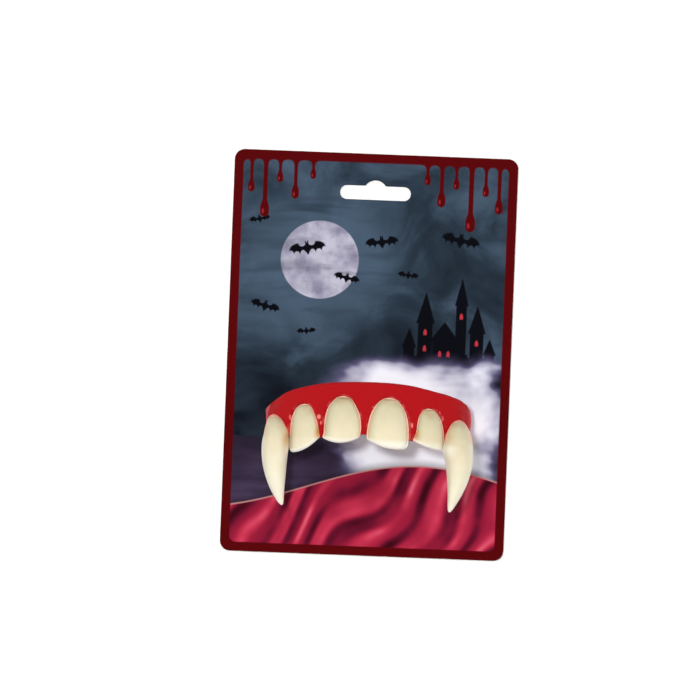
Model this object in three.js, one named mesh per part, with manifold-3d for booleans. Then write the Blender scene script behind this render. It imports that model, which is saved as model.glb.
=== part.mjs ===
// Vampire fang denture on its display card, in millimetres, with +Z up.
// The card lies on its back at z = 0 with its hanging slot towards +Y, and the origin is the centre of its back.
// The denture stands on the card on the two ends of its arched gum plate, with the teeth facing up.
// Left and right are as seen from the front of the teeth. Each tooth sits on the front of the plate.

import * as THREE from "three";
import { mergeVertices } from "three/addons/utils/BufferGeometryUtils.js";
import Module from "manifold-3d";

const wasm = await Module();
wasm.setup();

// The card and its hanging slot: a long slot with a round hump in the middle of its upper side.
const cardWidth = 66.9;
const cardHeight = 94.8;
const cardThickness = 0.8;
const cardCornerRadius = 2.4;
const slotWidth = 16.7;
const slotHeight = 3.3;
const slotHumpWidth = 4.8;
const slotHumpRise = 1.3;
const slotCentreFromTop = 9.2;

// The gum plate: an arched wall whose plan is half an ellipse with full corners, as a row of teeth has.
const gumDepth = 14.4; // from the two ends to the front of the arch
const gumHeight = 13.2; // from the top of the arch to the lower edge
const gumThickness = 1.8;
const gumFlare = 1.9; // how much wider the plate is at its top than at its lower edge
const archFullness = 2.5; // 2 is a plain ellipse, and more fills its corners
const gumLeftMargin = 2.75; // from the middle of the left fang to the left end of the plate
const gumRightMargin = 3.15;
const gumTopFromCardTop = 53.8;
const gumOffset = 0.5; // of the middle of the plate from the middle of the card
const seatGap = 0.3; // between the plate and what sits on it or carries it

// The teeth. The two sides differ a little, so each tooth takes its own share of these sizes.
const toothGap = 0.7;
const centralNeck = 3.5; // the necks are measured down from the top of the arch
const centralWidth = 9.4;
const centralLength = 11.6;
const centralRelief = 2.4; // how far the tooth stands out from the plate
const lateralNeck = 5.7;
const lateralWidth = 7.3;
const lateralLength = 10.6;
const lateralRelief = 2.2;
const fangNeck = 8.2;
const fangWidth = 6.9;
const fangLength = 21.6;
const fangDepth = 7.6; // from its back to its front
const toothRim = 0.35; // the thickness of an incisor at its border
const toothDome = 0.45; // how round an incisor is across: less is flatter, with fuller borders

// The height of the plate's two edges, a row for each place across it. Across runs from -1 at the left end
// to 1 at the right end; top and bottom are shares of gumHeight, measured down from the top of the arch.
const gumEdges = [
  { across: -1.0, top: 0.515, bottom: 1.0 },
  { across: -0.95, top: 0.43, bottom: 1.0 },
  { across: -0.9, top: 0.362, bottom: 1.0 },
  { across: -0.81, top: 0.25, bottom: 1.0 },
  { across: -0.61, top: 0.121, bottom: 1.0 },
  { across: -0.41, top: 0.045, bottom: 1.02 },
  { across: -0.21, top: 0.012, bottom: 0.97 },
  { across: -0.02, top: 0.0, bottom: 0.94 },
  { across: 0.19, top: 0.004, bottom: 0.97 },
  { across: 0.39, top: 0.038, bottom: 1.02 },
  { across: 0.59, top: 0.114, bottom: 1.0 },
  { across: 0.79, top: 0.23, bottom: 1.0 },
  { across: 0.9, top: 0.32, bottom: 1.0 },
  { across: 0.955, top: 0.385, bottom: 1.0 },
  { across: 0.985, top: 0.455, bottom: 1.0 },
  { across: 1.0, top: 0.6, bottom: 1.0 },
];

// The sections of a tooth, a row for each section from its neck down. Down is a share of the tooth's length
// there, inner and outer are its borders towards and away from the midline as shares of its width from its
// middle, and relief is a share of the tooth's relief.
const leftCentralSections = [
  { down: 0.0, inner: -0.09, outer: 0.08, relief: 0.2 },
  { down: 0.03, inner: -0.15, outer: 0.14, relief: 0.42 },
  { down: 0.1, inner: -0.25, outer: 0.24, relief: 0.68 },
  { down: 0.25, inner: -0.36, outer: 0.375, relief: 0.92 },
  { down: 0.45, inner: -0.46, outer: 0.447, relief: 1.0 },
  { down: 0.7, inner: -0.5, outer: 0.475, relief: 0.92 },
  { down: 0.87, inner: -0.49, outer: 0.48, relief: 0.78 },
  { down: 0.96, inner: -0.455, outer: 0.5, relief: 0.62 },
  { down: 1.0, inner: -0.39, outer: 0.47, relief: 0.36 },
];
const rightCentralSections = [
  { down: 0.0, inner: -0.08, outer: 0.09, relief: 0.2 },
  { down: 0.03, inner: -0.13, outer: 0.165, relief: 0.42 },
  { down: 0.1, inner: -0.235, outer: 0.27, relief: 0.68 },
  { down: 0.25, inner: -0.355, outer: 0.39, relief: 0.92 },
  { down: 0.45, inner: -0.44, outer: 0.47, relief: 1.0 },
  { down: 0.7, inner: -0.487, outer: 0.5, relief: 0.92 },
  { down: 0.87, inner: -0.5, outer: 0.495, relief: 0.78 },
  { down: 0.96, inner: -0.492, outer: 0.468, relief: 0.62 },
  { down: 1.0, inner: -0.46, outer: 0.41, relief: 0.36 },
];
const leftLateralSections = [
  { down: 0.0, inner: -0.05, outer: 0.13, relief: 0.2 },
  { down: 0.03, inner: -0.1, outer: 0.2, relief: 0.42 },
  { down: 0.1, inner: -0.19, outer: 0.32, relief: 0.68 },
  { down: 0.25, inner: -0.28, outer: 0.43, relief: 0.92 },
  { down: 0.45, inner: -0.37, outer: 0.482, relief: 1.0 },
  { down: 0.7, inner: -0.45, outer: 0.5, relief: 0.92 },
  { down: 0.87, inner: -0.485, outer: 0.5, relief: 0.78 },
  { down: 0.96, inner: -0.5, outer: 0.465, relief: 0.62 },
  { down: 1.0, inner: -0.49, outer: 0.39, relief: 0.36 },
];
const rightLateralSections = [
  { down: 0.0, inner: -0.12, outer: 0.05, relief: 0.2 },
  { down: 0.03, inner: -0.165, outer: 0.12, relief: 0.42 },
  { down: 0.1, inner: -0.24, outer: 0.225, relief: 0.68 },
  { down: 0.25, inner: -0.335, outer: 0.36, relief: 0.92 },
  { down: 0.45, inner: -0.375, outer: 0.445, relief: 1.0 },
  { down: 0.7, inner: -0.405, outer: 0.495, relief: 0.92 },
  { down: 0.87, inner: -0.45, outer: 0.5, relief: 0.78 },
  { down: 0.96, inner: -0.5, outer: 0.48, relief: 0.62 },
  { down: 1.0, inner: -0.49, outer: 0.43, relief: 0.36 },
];

// The same for a fang, which is a round, backward curving cone. Back and front are where its two faces lie,
// measured forwards from the plate's face at its neck as shares of its depth.
const leftFangSections = [
  { down: 0.0, inner: 0.06, outer: 0.14, back: 0.02, front: 0.12 },
  { down: 0.02, inner: -0.07, outer: 0.235, back: 0.03, front: 0.33 },
  { down: 0.06, inner: -0.215, outer: 0.32, back: 0.0, front: 0.56 },
  { down: 0.13, inner: -0.365, outer: 0.385, back: -0.08, front: 0.76 },
  { down: 0.21, inner: -0.475, outer: 0.435, back: -0.12, front: 0.86 },
  { down: 0.34, inner: -0.5, outer: 0.5, back: -0.13, front: 0.9 },
  { down: 0.5, inner: -0.452, outer: 0.47, back: -0.1, front: 0.86 },
  { down: 0.66, inner: -0.425, outer: 0.35, back: -0.03, front: 0.75 },
  { down: 0.82, inner: -0.395, outer: 0.135, back: 0.08, front: 0.58 },
  { down: 0.94, inner: -0.385, outer: -0.105, back: 0.17, front: 0.42 },
  { down: 0.985, inner: -0.37, outer: -0.23, back: 0.2, front: 0.33 },
  { down: 1.0, inner: -0.33, outer: -0.29, back: 0.22, front: 0.27 },
];
const rightFangSections = [
  { down: 0.0, inner: -0.07, outer: 0.0, back: 0.02, front: 0.12 },
  { down: 0.02, inner: -0.185, outer: 0.12, back: 0.03, front: 0.33 },
  { down: 0.06, inner: -0.28, outer: 0.235, back: 0.0, front: 0.56 },
  { down: 0.13, inner: -0.378, outer: 0.36, back: -0.08, front: 0.76 },
  { down: 0.21, inner: -0.445, outer: 0.438, back: -0.12, front: 0.86 },
  { down: 0.33, inner: -0.5, outer: 0.493, back: -0.13, front: 0.9 },
  { down: 0.48, inner: -0.4, outer: 0.487, back: -0.1, front: 0.86 },
  { down: 0.66, inner: -0.325, outer: 0.365, back: -0.03, front: 0.75 },
  { down: 0.82, inner: -0.288, outer: 0.165, back: 0.08, front: 0.58 },
  { down: 0.94, inner: -0.277, outer: -0.045, back: 0.17, front: 0.42 },
  { down: 0.985, inner: -0.255, outer: -0.14, back: 0.2, front: 0.33 },
  { down: 1.0, inner: -0.22, outer: -0.18, back: 0.22, front: 0.27 },
];

// The teeth on each side, from the midline out. Gap is the distance to the tooth before, or to the midline, and
// neck is how far the tooth's upper end lies below the top of the gum. Edge holds the length of an incisor at
// its inner border, middle and outer border as shares of its length, which gives its biting edge a slope.
const teeth = {
  left: [
    {
      name: "left_central_incisor",
      gap: toothGap,
      neck: centralNeck,
      width: 0.95 * centralWidth,
      length: 0.955 * centralLength,
      relief: centralRelief,
      edge: { inner: 0.9, middle: 1.0, outer: 0.92 },
      sections: leftCentralSections,
    },
    {
      name: "left_lateral_incisor",
      gap: toothGap,
      neck: lateralNeck,
      width: 0.97 * lateralWidth,
      length: 1.075 * lateralLength,
      relief: lateralRelief,
      edge: { inner: 0.685, middle: 0.92, outer: 1.01 },
      sections: leftLateralSections,
    },
    {
      name: "left_fang",
      gap: 0.06 * toothGap,
      neck: 1.02 * fangNeck,
      width: 0.94 * fangWidth,
      length: 0.99 * fangLength,
      depth: 0.975 * fangDepth,
      sections: leftFangSections,
    },
  ],
  right: [
    {
      name: "right_central_incisor",
      gap: toothGap,
      neck: centralNeck,
      width: 1.05 * centralWidth,
      length: 1.05 * centralLength,
      relief: centralRelief,
      edge: { inner: 0.835, middle: 0.975, outer: 0.98 },
      sections: rightCentralSections,
    },
    {
      name: "right_lateral_incisor",
      gap: 1.5 * toothGap,
      neck: lateralNeck,
      width: 1.03 * lateralWidth,
      length: 0.925 * lateralLength,
      relief: lateralRelief,
      edge: { inner: 0.785, middle: 0.94, outer: 1.0 },
      sections: rightLateralSections,
    },
    {
      name: "right_fang",
      gap: -0.6 * toothGap,
      neck: 0.975 * fangNeck,
      width: 1.06 * fangWidth,
      length: 1.015 * fangLength,
      depth: 1.025 * fangDepth,
      sections: rightFangSections,
    },
  ],
};

// How finely the curved faces are divided.
const gumStations = 60;
const toothRings = 14;
const fangRings = 20;
const toothSteps = 10;
const fangSides = 24;
const cardArcSteps = 8;

const cardBoard = new THREE.MeshStandardMaterial({ color: 0x5a0408, roughness: 0.45, metalness: 0 });
const gumPlastic = new THREE.MeshStandardMaterial({ color: 0xbe1a20, roughness: 0.35, metalness: 0 });
const toothPlastic = new THREE.MeshStandardMaterial({ color: 0xe9dfbf, roughness: 0.4, metalness: 0 });

// The plate reaches past both fangs, so its middle lies a little off the midline of the teeth.
const fangReach = (side) => side.reduce((sum, tooth) => sum + tooth.gap + tooth.width, 0)
  - side[side.length - 1].width / 2;
const leftReach = fangReach(teeth.left) + gumLeftMargin;
const rightReach = fangReach(teeth.right) + gumRightMargin;
const gumHalfWidth = (leftReach + rightReach) / 2;
const midline = (leftReach - rightReach) / 2; // from the middle of the plate

// The values of a table's columns at a place between its first row (0) and its last (1), on a smooth curve
// through its rows.
function rowAt(rows, place) {
  const last = rows.length - 1;
  const start = Math.min(Math.floor(place * last), last - 1);
  const share = place * last - start;
  const near = [start - 1, start, start + 1, start + 2].map((i) => rows[THREE.MathUtils.clamp(i, 0, last)]);
  const blend = ([a, b, c, d]) =>
    b + 0.5 * share * (c - a + share * (2 * a - 5 * b + 4 * c - d + share * (3 * (b - c) + d - a)));
  return Object.fromEntries(Object.keys(rows[0]).map((key) => [key, blend(near.map((row) => row[key]))]));
}

// One column of a table at a given value of its first column, on a smooth curve through its rows.
function columnAt(rows, key, first, value) {
  const last = rows.length - 1;
  const next = THREE.MathUtils.clamp(rows.findIndex((row) => row[first] >= value), 1, last);
  const [a, b] = [rows[next - 1], rows[next]];
  const span = b[first] - a[first];
  const share = (value - a[first]) / span;
  const riseAt = (i) => {
    const [before, after] = [rows[Math.max(i - 1, 0)], rows[Math.min(i + 1, last)]];
    return span * (after[key] - before[key]) / (after[first] - before[first]);
  };
  return (1 - share) ** 2 * ((1 + 2 * share) * a[key] + share * riseAt(next - 1))
    + share ** 2 * ((3 - 2 * share) * b[key] - (1 - share) * riseAt(next));
}

// Half the width of the plate's face at a height, which is measured up from the top of the arch.
function archHalfWidth(y) {
  return gumHalfWidth + gumFlare * (0.5 + y / gumHeight);
}

// How far in front of the plate's ends its face lies, across running from -1 at the left end to 1 at the right.
function archForward(across) {
  return gumDepth * (1 - Math.abs(across) ** archFullness) ** (1 / archFullness);
}

function archNormal(across, y) {
  const slope = archFullness - 1;
  return new THREE.Vector2(
    Math.sign(across) * Math.abs(across) ** slope / archHalfWidth(y),
    (archForward(across) / gumDepth) ** slope / gumDepth,
  ).normalize();
}

// A point of the plate at a distance square to its face.
function archPoint(across, y, out) {
  const normal = archNormal(across, y);
  return new THREE.Vector3(archHalfWidth(y) * across + out * normal.x, y, archForward(across) + out * normal.y);
}

// A point straight in front of the face at x and y, at a distance square to the face.
function facePoint(x, y, out) {
  const across = x / archHalfWidth(y);
  return new THREE.Vector3(x, y, archForward(across) + out / archNormal(across, y).y);
}

// Places across the arch from end to end, closer together where it turns.
function archStations() {
  const stations = [];
  for (let i = 0; i <= gumStations; i++) {
    const across = Math.sin(Math.PI * (i / gumStations - 0.5));
    stations.push(Math.sign(across) * Math.abs(across) ** (2 / archFullness));
  }
  return stations;
}

// A closed solid through rings of the same number of points. Each end is closed by a strip between the first
// half of its ring and the second, so a ring may be curved but its two halves face each other.
function loft(rings) {
  const count = rings[0].length;
  const half = count / 2;
  const indices = [];
  const quad = (a, b, c, d) => indices.push(a, b, c, a, c, d);
  for (let r = 0; r < rings.length - 1; r++) {
    for (let i = 0; i < count; i++) {
      const j = (i + 1) % count;
      quad(r * count + i, r * count + j, (r + 1) * count + j, (r + 1) * count + i);
    }
  }
  const last = (rings.length - 1) * count;
  for (let i = 0; i < half - 1; i++) {
    const far = count - 1 - i;
    quad(i, far, far - 1, i + 1);
    quad(last + i, last + i + 1, last + far - 1, last + far);
  }
  const geometry = new THREE.BufferGeometry().setFromPoints(rings.flat());
  geometry.setIndex(indices);
  geometry.computeVertexNormals();
  return geometry;
}

function solidOf(geometry) {
  const bare = geometry.clone();
  bare.deleteAttribute("normal");
  bare.deleteAttribute("uv");
  const merged = mergeVertices(bare, 1e-4);
  return new wasm.Manifold(new wasm.Mesh({
    numProp: 3,
    vertProperties: new Float32Array(merged.attributes.position.array),
    triVerts: new Uint32Array(merged.index.array),
  }));
}

function geometryOf(solid) {
  const mesh = solid.getMesh();
  const geometry = new THREE.BufferGeometry();
  geometry.setAttribute("position", new THREE.BufferAttribute(mesh.vertProperties, mesh.numProp));
  geometry.setIndex(new THREE.BufferAttribute(mesh.triVerts, 1));
  geometry.computeVertexNormals();
  return geometry;
}

function named(name, geometry, material) {
  const mesh = new THREE.Mesh(geometry, material);
  mesh.name = name;
  return mesh;
}

function cardOutline() {
  const [x, y, r] = [cardWidth / 2, cardHeight / 2, cardCornerRadius];
  const outline = new THREE.Shape();
  outline.absarc(x - r, y - r, r, 0, Math.PI / 2);
  outline.absarc(-x + r, y - r, r, Math.PI / 2, Math.PI);
  outline.absarc(-x + r, -y + r, r, Math.PI, 1.5 * Math.PI);
  outline.absarc(x - r, -y + r, r, 1.5 * Math.PI, 2 * Math.PI);
  return outline;
}

// The slot has round ends, and the hump on its upper side is a shallow arc.
function slotOutline() {
  const y = cardHeight / 2 - slotCentreFromTop;
  const end = slotHeight / 2;
  const straight = slotWidth / 2 - end;
  const humpRadius = (slotHumpWidth ** 2 / 4 + slotHumpRise ** 2) / (2 * slotHumpRise);
  const humpHalfAngle = Math.asin(slotHumpWidth / 2 / humpRadius);
  const humpCentre = y + end + slotHumpRise - humpRadius;
  const outline = new THREE.Path();
  outline.absarc(straight, y, end, -Math.PI / 2, Math.PI / 2);
  outline.absarc(0, humpCentre, humpRadius, Math.PI / 2 - humpHalfAngle, Math.PI / 2 + humpHalfAngle);
  outline.absarc(-straight, y, end, Math.PI / 2, 1.5 * Math.PI);
  return outline;
}

function makeCard() {
  const outline = cardOutline();
  outline.holes.push(slotOutline());
  const geometry = new THREE.ExtrudeGeometry(outline, {
    depth: cardThickness,
    bevelEnabled: false,
    curveSegments: cardArcSteps,
  });
  return named("display_card", geometry, cardBoard);
}

// The plate's section at one place: over its rounded top, down its front, round its lower edge and up its back.
function gumRing(across) {
  const top = -gumHeight * columnAt(gumEdges, "top", "across", across);
  const bottom = -gumHeight * columnAt(gumEdges, "bottom", "across", across);
  const round = gumThickness / 2;
  const bevel = round * (1 - Math.SQRT1_2);
  const soft = gumThickness / 5;
  const front = [
    [top, -round * 0.9],
    [top - bevel, -bevel],
    [top - round, 0],
    [bottom + soft, 0],
    [bottom, -soft],
  ];
  const back = [
    [bottom, -gumThickness + soft],
    [bottom + soft, -gumThickness],
    [top - round, -gumThickness],
    [top - bevel, -gumThickness + bevel],
    [top, -round * 1.1],
  ];
  return [...front, ...back].map(([y, out]) => archPoint(across, y, out));
}

function makeGumPlate() {
  return named("gum_plate", loft(archStations().map(gumRing)), gumPlastic);
}

// An incisor lies on the plate: its back follows the plate's face at the seat gap, and its front is domed.
function incisorShape(tooth, middle, direction) {
  const { neck, width, length, relief, edge, sections } = tooth;
  const lengthAt = (u) => length * (edge.middle + u * (edge.outer - edge.inner) / 2
    + u * u * ((edge.outer + edge.inner) / 2 - edge.middle));
  const rings = [];
  for (let i = 0; i <= toothRings; i++) {
    const row = rowAt(sections, i / toothRings);
    const pointAt = (u, out) => {
      const x = middle + direction * width * THREE.MathUtils.mapLinear(u, -1, 1, row.inner, row.outer);
      return facePoint(x, -neck - row.down * lengthAt(u), out);
    };
    const front = [];
    const back = [];
    for (let step = 0; step <= toothSteps; step++) {
      const u = -Math.cos(Math.PI * step / toothSteps);
      const dome = (1 - u * u) ** toothDome;
      front.push(pointAt(u, seatGap + toothRim + (relief * row.relief - toothRim) * dome));
      back.unshift(pointAt(u, seatGap));
    }
    const ring = [...front, ...back];
    rings.push(direction > 0 ? ring.reverse() : ring);
  }
  return loft(rings);
}

// What a fang may not enter: the plate with its seat gap, and the hollow behind it for the wearer's own teeth.
function archCore() {
  const rings = [-gumHeight - seatGap, gumHeight].map((y) => {
    const ring = archStations().map((across) => archPoint(across, y, seatGap));
    const behind = ring.map((point) => new THREE.Vector3(point.x, y, -gumDepth)).reverse();
    return [...ring, ...behind];
  });
  return solidOf(loft(rings));
}

// A fang is a cone of oval sections that curves back to its tip. Margin makes it fatter all round.
function fangShape(tooth, middle, direction, margin) {
  const { neck, width, length, depth, sections } = tooth;
  const face = facePoint(middle, -neck, 0).z;
  const rings = [];
  for (let i = 0; i <= fangRings; i++) {
    const row = rowAt(sections, i / fangRings);
    const centreX = middle + direction * width * (row.inner + row.outer) / 2;
    const centreZ = face + depth * (row.back + row.front) / 2;
    const radiusX = width * (row.outer - row.inner) / 2 + margin;
    const radiusZ = depth * (row.front - row.back) / 2 + margin;
    const ring = [];
    for (let side = 0; side < fangSides; side++) {
      const turn = 2 * Math.PI * (side + 0.5) / fangSides;
      const y = -neck - length * row.down;
      ring.push(new THREE.Vector3(centreX + radiusX * Math.cos(turn), y, centreZ + radiusZ * Math.sin(turn)));
    }
    rings.push(ring);
  }
  return solidOf(loft(rings));
}

// The teeth of one side. The fang is cut to sit on the plate's face, and the tooth beside it clears the fang.
function makeTeeth(side, direction) {
  let border = midline;
  const middles = side.map((tooth) => {
    const middle = border + direction * (tooth.gap + tooth.width / 2);
    border = middle + direction * tooth.width / 2;
    return middle;
  });
  const last = side.length - 1;
  const fang = fangShape(side[last], middles[last], direction, 0).subtract(archCore());
  const fangRoom = fangShape(side[last], middles[last], direction, seatGap);
  return side.map((tooth, i) => {
    if (i === last) return named(tooth.name, geometryOf(fang), toothPlastic);
    const shape = incisorShape(tooth, middles[i], direction);
    const cut = i === last - 1 ? geometryOf(solidOf(shape).subtract(fangRoom)) : shape;
    return named(tooth.name, cut, toothPlastic);
  });
}

function makeDenture() {
  const denture = new THREE.Group();
  denture.add(makeGumPlate(), ...makeTeeth(teeth.left, -1), ...makeTeeth(teeth.right, 1));
  return denture;
}

const denture = makeDenture();
denture.position.set(gumOffset, cardHeight / 2 - gumTopFromCardTop, cardThickness + seatGap);

const part = new THREE.Group();
part.add(makeCard(), denture);

export default part;
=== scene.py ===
import math
from functools import partial

import bmesh
import bpy
import numpy as np
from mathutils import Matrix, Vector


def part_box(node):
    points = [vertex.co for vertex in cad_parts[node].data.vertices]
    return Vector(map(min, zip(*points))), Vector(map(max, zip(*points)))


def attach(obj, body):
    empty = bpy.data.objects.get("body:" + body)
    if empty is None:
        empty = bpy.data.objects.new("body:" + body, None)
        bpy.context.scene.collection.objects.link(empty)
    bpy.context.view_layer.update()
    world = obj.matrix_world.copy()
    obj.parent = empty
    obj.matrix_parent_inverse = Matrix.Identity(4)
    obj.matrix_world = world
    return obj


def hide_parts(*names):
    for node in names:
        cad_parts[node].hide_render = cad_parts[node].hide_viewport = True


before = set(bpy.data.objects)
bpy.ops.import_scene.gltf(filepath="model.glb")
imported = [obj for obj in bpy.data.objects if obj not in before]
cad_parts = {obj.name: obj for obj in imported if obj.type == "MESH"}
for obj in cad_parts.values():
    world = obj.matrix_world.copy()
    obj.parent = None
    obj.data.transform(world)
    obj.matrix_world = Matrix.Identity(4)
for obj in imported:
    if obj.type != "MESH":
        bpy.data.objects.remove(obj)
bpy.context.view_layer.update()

mm = 0.001  # shapes are worked out in millimetres, and meshes are made in metres
weldDistance = 0.002 * mm
body = "root"
print("frame loaded:", ", ".join(sorted(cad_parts)))


# small tools

def linear(hexColour):
    # sRGB hex to linear RGBA
    channels = [int(hexColour[i:i + 2], 16) / 255 for i in (1, 3, 5)]
    return tuple(c / 12.92 if c <= 0.04045 else ((c + 0.055) / 1.055) ** 2.4 for c in channels) + (1,)


def addNode(tree, kind, inputs=(), stops=(), **settings):
    # adds a node and sets its properties. Kind is its type, and its operation if it has one. Inputs are in
    # order or by name, and each takes a value, a hex colour, a socket, or a node, whose main output it links
    kind, *operation = kind.split()
    node = tree.nodes.new("ShaderNode" + kind)
    if operation:
        node.operation = operation[0]
    for name, value in settings.items():
        setattr(node, name, value)
    for number, (position, colour) in enumerate(stops):
        elements = node.color_ramp.elements
        element = elements[number] if number < len(elements) else elements.new(position)
        element.position = position
        element.color = linear(colour)
    for name, value in inputs.items() if isinstance(inputs, dict) else enumerate(inputs):
        if isinstance(value, str):
            value = linear(value)
        if isinstance(value, bpy.types.Node):
            value = next(socket for socket in value.outputs if socket.enabled)
        if isinstance(value, bpy.types.NodeSocket):
            tree.links.new(value, node.inputs[name])
        else:
            node.inputs[name].default_value = value
    return node


def newMaterial(name):
    # an empty material, and addNode for its tree
    material = bpy.data.materials.new(name)
    material.use_nodes = True
    material.node_tree.nodes.clear()
    return material, partial(addNode, material.node_tree)


def boxOf(node):
    # a node's corners in millimetres
    low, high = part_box(node)
    return np.array(low) / mm, np.array(high) / mm


def smoothStep(value, start, end):
    share = np.clip((value - start) / (end - start), 0, 1)
    return share * share * (3 - 2 * share)


def spot(x, y, centre, reach):
    # 1 in the middle of a soft oval spot, fading to 0
    return np.exp(-((x - centre[0]) / reach[0]) ** 2 - ((y - centre[1]) / reach[1]) ** 2)


def closerAtEnds(count):
    # numbers from 0 to 1 that lie closer together at both ends
    return (1 - np.cos(np.linspace(0, math.pi, count))) / 2


def readTable(columns, places):
    # every column of a table at places from 0, its first row, to 1, its last, on a smooth curve through them
    read = {}
    for key, column in columns.items():
        last = len(column) - 1
        start = np.minimum((places * last).astype(int), last - 1)
        t = places * last - start
        a, b, c, d = (np.array(column, float)[np.clip(start + step, 0, last)] for step in (-1, 0, 1, 2))
        read[key] = b + 0.5 * t * (c - a + t * (2 * a - 5 * b + 4 * c - d + t * (3 * (b - c) + d - a)))
    return read


def readColumn(x, y, values):
    # y at given values of x, on a smooth curve through the pairs
    slope = np.gradient(y, x)
    i = np.clip(np.searchsorted(x, values) - 1, 0, len(x) - 2)
    span = x[i + 1] - x[i]
    t = (values - x[i]) / span
    return ((1 - t) ** 2 * ((1 + 2 * t) * y[i] + t * span * slope[i])
            + t ** 2 * ((3 - 2 * t) * y[i + 1] - (1 - t) * span * slope[i + 1]))


def loftPiece(name, rings, attributes, capEnds=False, sharpAngle=50):
    # a closed mesh through rings of points (rings, points, 3); attributes hold one number for each point
    ringCount, pointCount = rings.shape[:2]
    index = np.arange(ringCount * pointCount).reshape(ringCount, pointCount)
    following = np.roll(index, -1, axis=1)
    faces = np.stack([index[:-1], following[:-1], following[1:], index[1:]], -1).reshape(-1, 4).tolist()
    if capEnds:
        faces += [index[0].tolist(), index[-1, ::-1].tolist()]
    mesh = bpy.data.meshes.new(name)
    mesh.from_pydata((rings.reshape(-1, 3) * mm).tolist(), [], faces)
    for key, values in attributes.items():
        attribute = mesh.attributes.new(key, "FLOAT", "POINT")
        attribute.data.foreach_set("value", values.reshape(-1).astype(np.float32))
    welded = weldPoints(mesh)
    mesh.polygons.foreach_set("use_smooth", [True] * len(mesh.polygons))
    mesh.set_sharp_from_angle(angle=math.radians(sharpAngle))
    piece = bpy.data.objects.new(name, mesh)
    bpy.context.scene.collection.objects.link(piece)
    print(f"{name}: {len(mesh.polygons)} faces, {welded} points welded")
    return piece


def weldPoints(mesh):
    # joins the points where a ring closes to a line or a point
    work = bmesh.new()
    work.from_mesh(mesh)
    before = len(work.verts)
    bmesh.ops.remove_doubles(work, verts=work.verts, dist=weldDistance)
    bmesh.ops.recalc_face_normals(work, faces=work.faces)
    work.to_mesh(mesh)
    after = len(work.verts)
    work.free()
    return before - after


def pieceName(node):
    return node.title().replace("_", "")


def placePiece(piece, node, material):
    piece.data.materials.clear()
    piece.data.materials.append(material)
    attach(piece, body)
    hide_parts(node)


# the arch that the gum plate follows

gumLow, gumHigh = boxOf("gum_plate")
arch = {
    "middle": 0.5,         # x of the middle of the plate
    "halfWidth": 24.5,     # at half its height
    "flare": 1.9,          # how much wider the plate is at its top than at its lower edge
    "fullness": 2.5,       # 2 is a plain ellipse, and more fills its corners
    "height": 13.2,
    "thickness": 1.8,
    "top": -6.4,           # y of the top of the plate
    "seat": gumLow[2],     # z of the plate's ends
    "depth": gumHigh[2] - gumLow[2],
    "reach": 0.998,        # how far across its face is followed; beyond it the face turns straight back
}


def archHalfWidth(y):
    return arch["halfWidth"] + arch["flare"] * (0.5 + (y - arch["top"]) / arch["height"])


def archForward(across):
    return arch["depth"] * np.maximum(1 - np.abs(across) ** arch["fullness"], 0) ** (1 / arch["fullness"])


def archNormal(across, y):
    slope = arch["fullness"] - 1
    x = np.sign(across) * np.abs(across) ** slope / archHalfWidth(y)
    z = (archForward(across) / arch["depth"]) ** slope / arch["depth"]
    length = np.hypot(x, z)
    return x / length, z / length


def archPoint(across, y, out):
    # a point at a distance square to the plate's face
    x, z = archNormal(across, y)
    return np.stack(np.broadcast_arrays(
        arch["middle"] + archHalfWidth(y) * across + out * x,
        y,
        arch["seat"] + archForward(across) + out * z,
    ), -1)


def facePoint(x, y, out):
    # a point straight in front of the face at x and y, at a distance square to the face
    across = np.clip((x - arch["middle"]) / archHalfWidth(y), -arch["reach"], arch["reach"])
    return np.stack(np.broadcast_arrays(
        x,
        y,
        arch["seat"] + archForward(across) + out / archNormal(across, y)[1],
    ), -1)


# the teeth: sections from the neck down, as in the solids, but ending in a point or a thin edge. Down is a
# share of the length there, inner and outer are the borders towards and away from the midline, as shares of
# the width from the tooth's middle, and relief is a share of how far the tooth stands out. Start is where the
# colours start above the neck in mm, pace how fast they change down it, and pale how pale the end is. Stains
# are tan, where the red plate shines through; a fang's faint second stain is painted light, a strip for the
# different light on its inner face. Glows are light, where the plastic starts to be free of the plate, and
# also paint the highlight down a fang's ridge. Each gives place, reach across and down in mm, and strength

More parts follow.
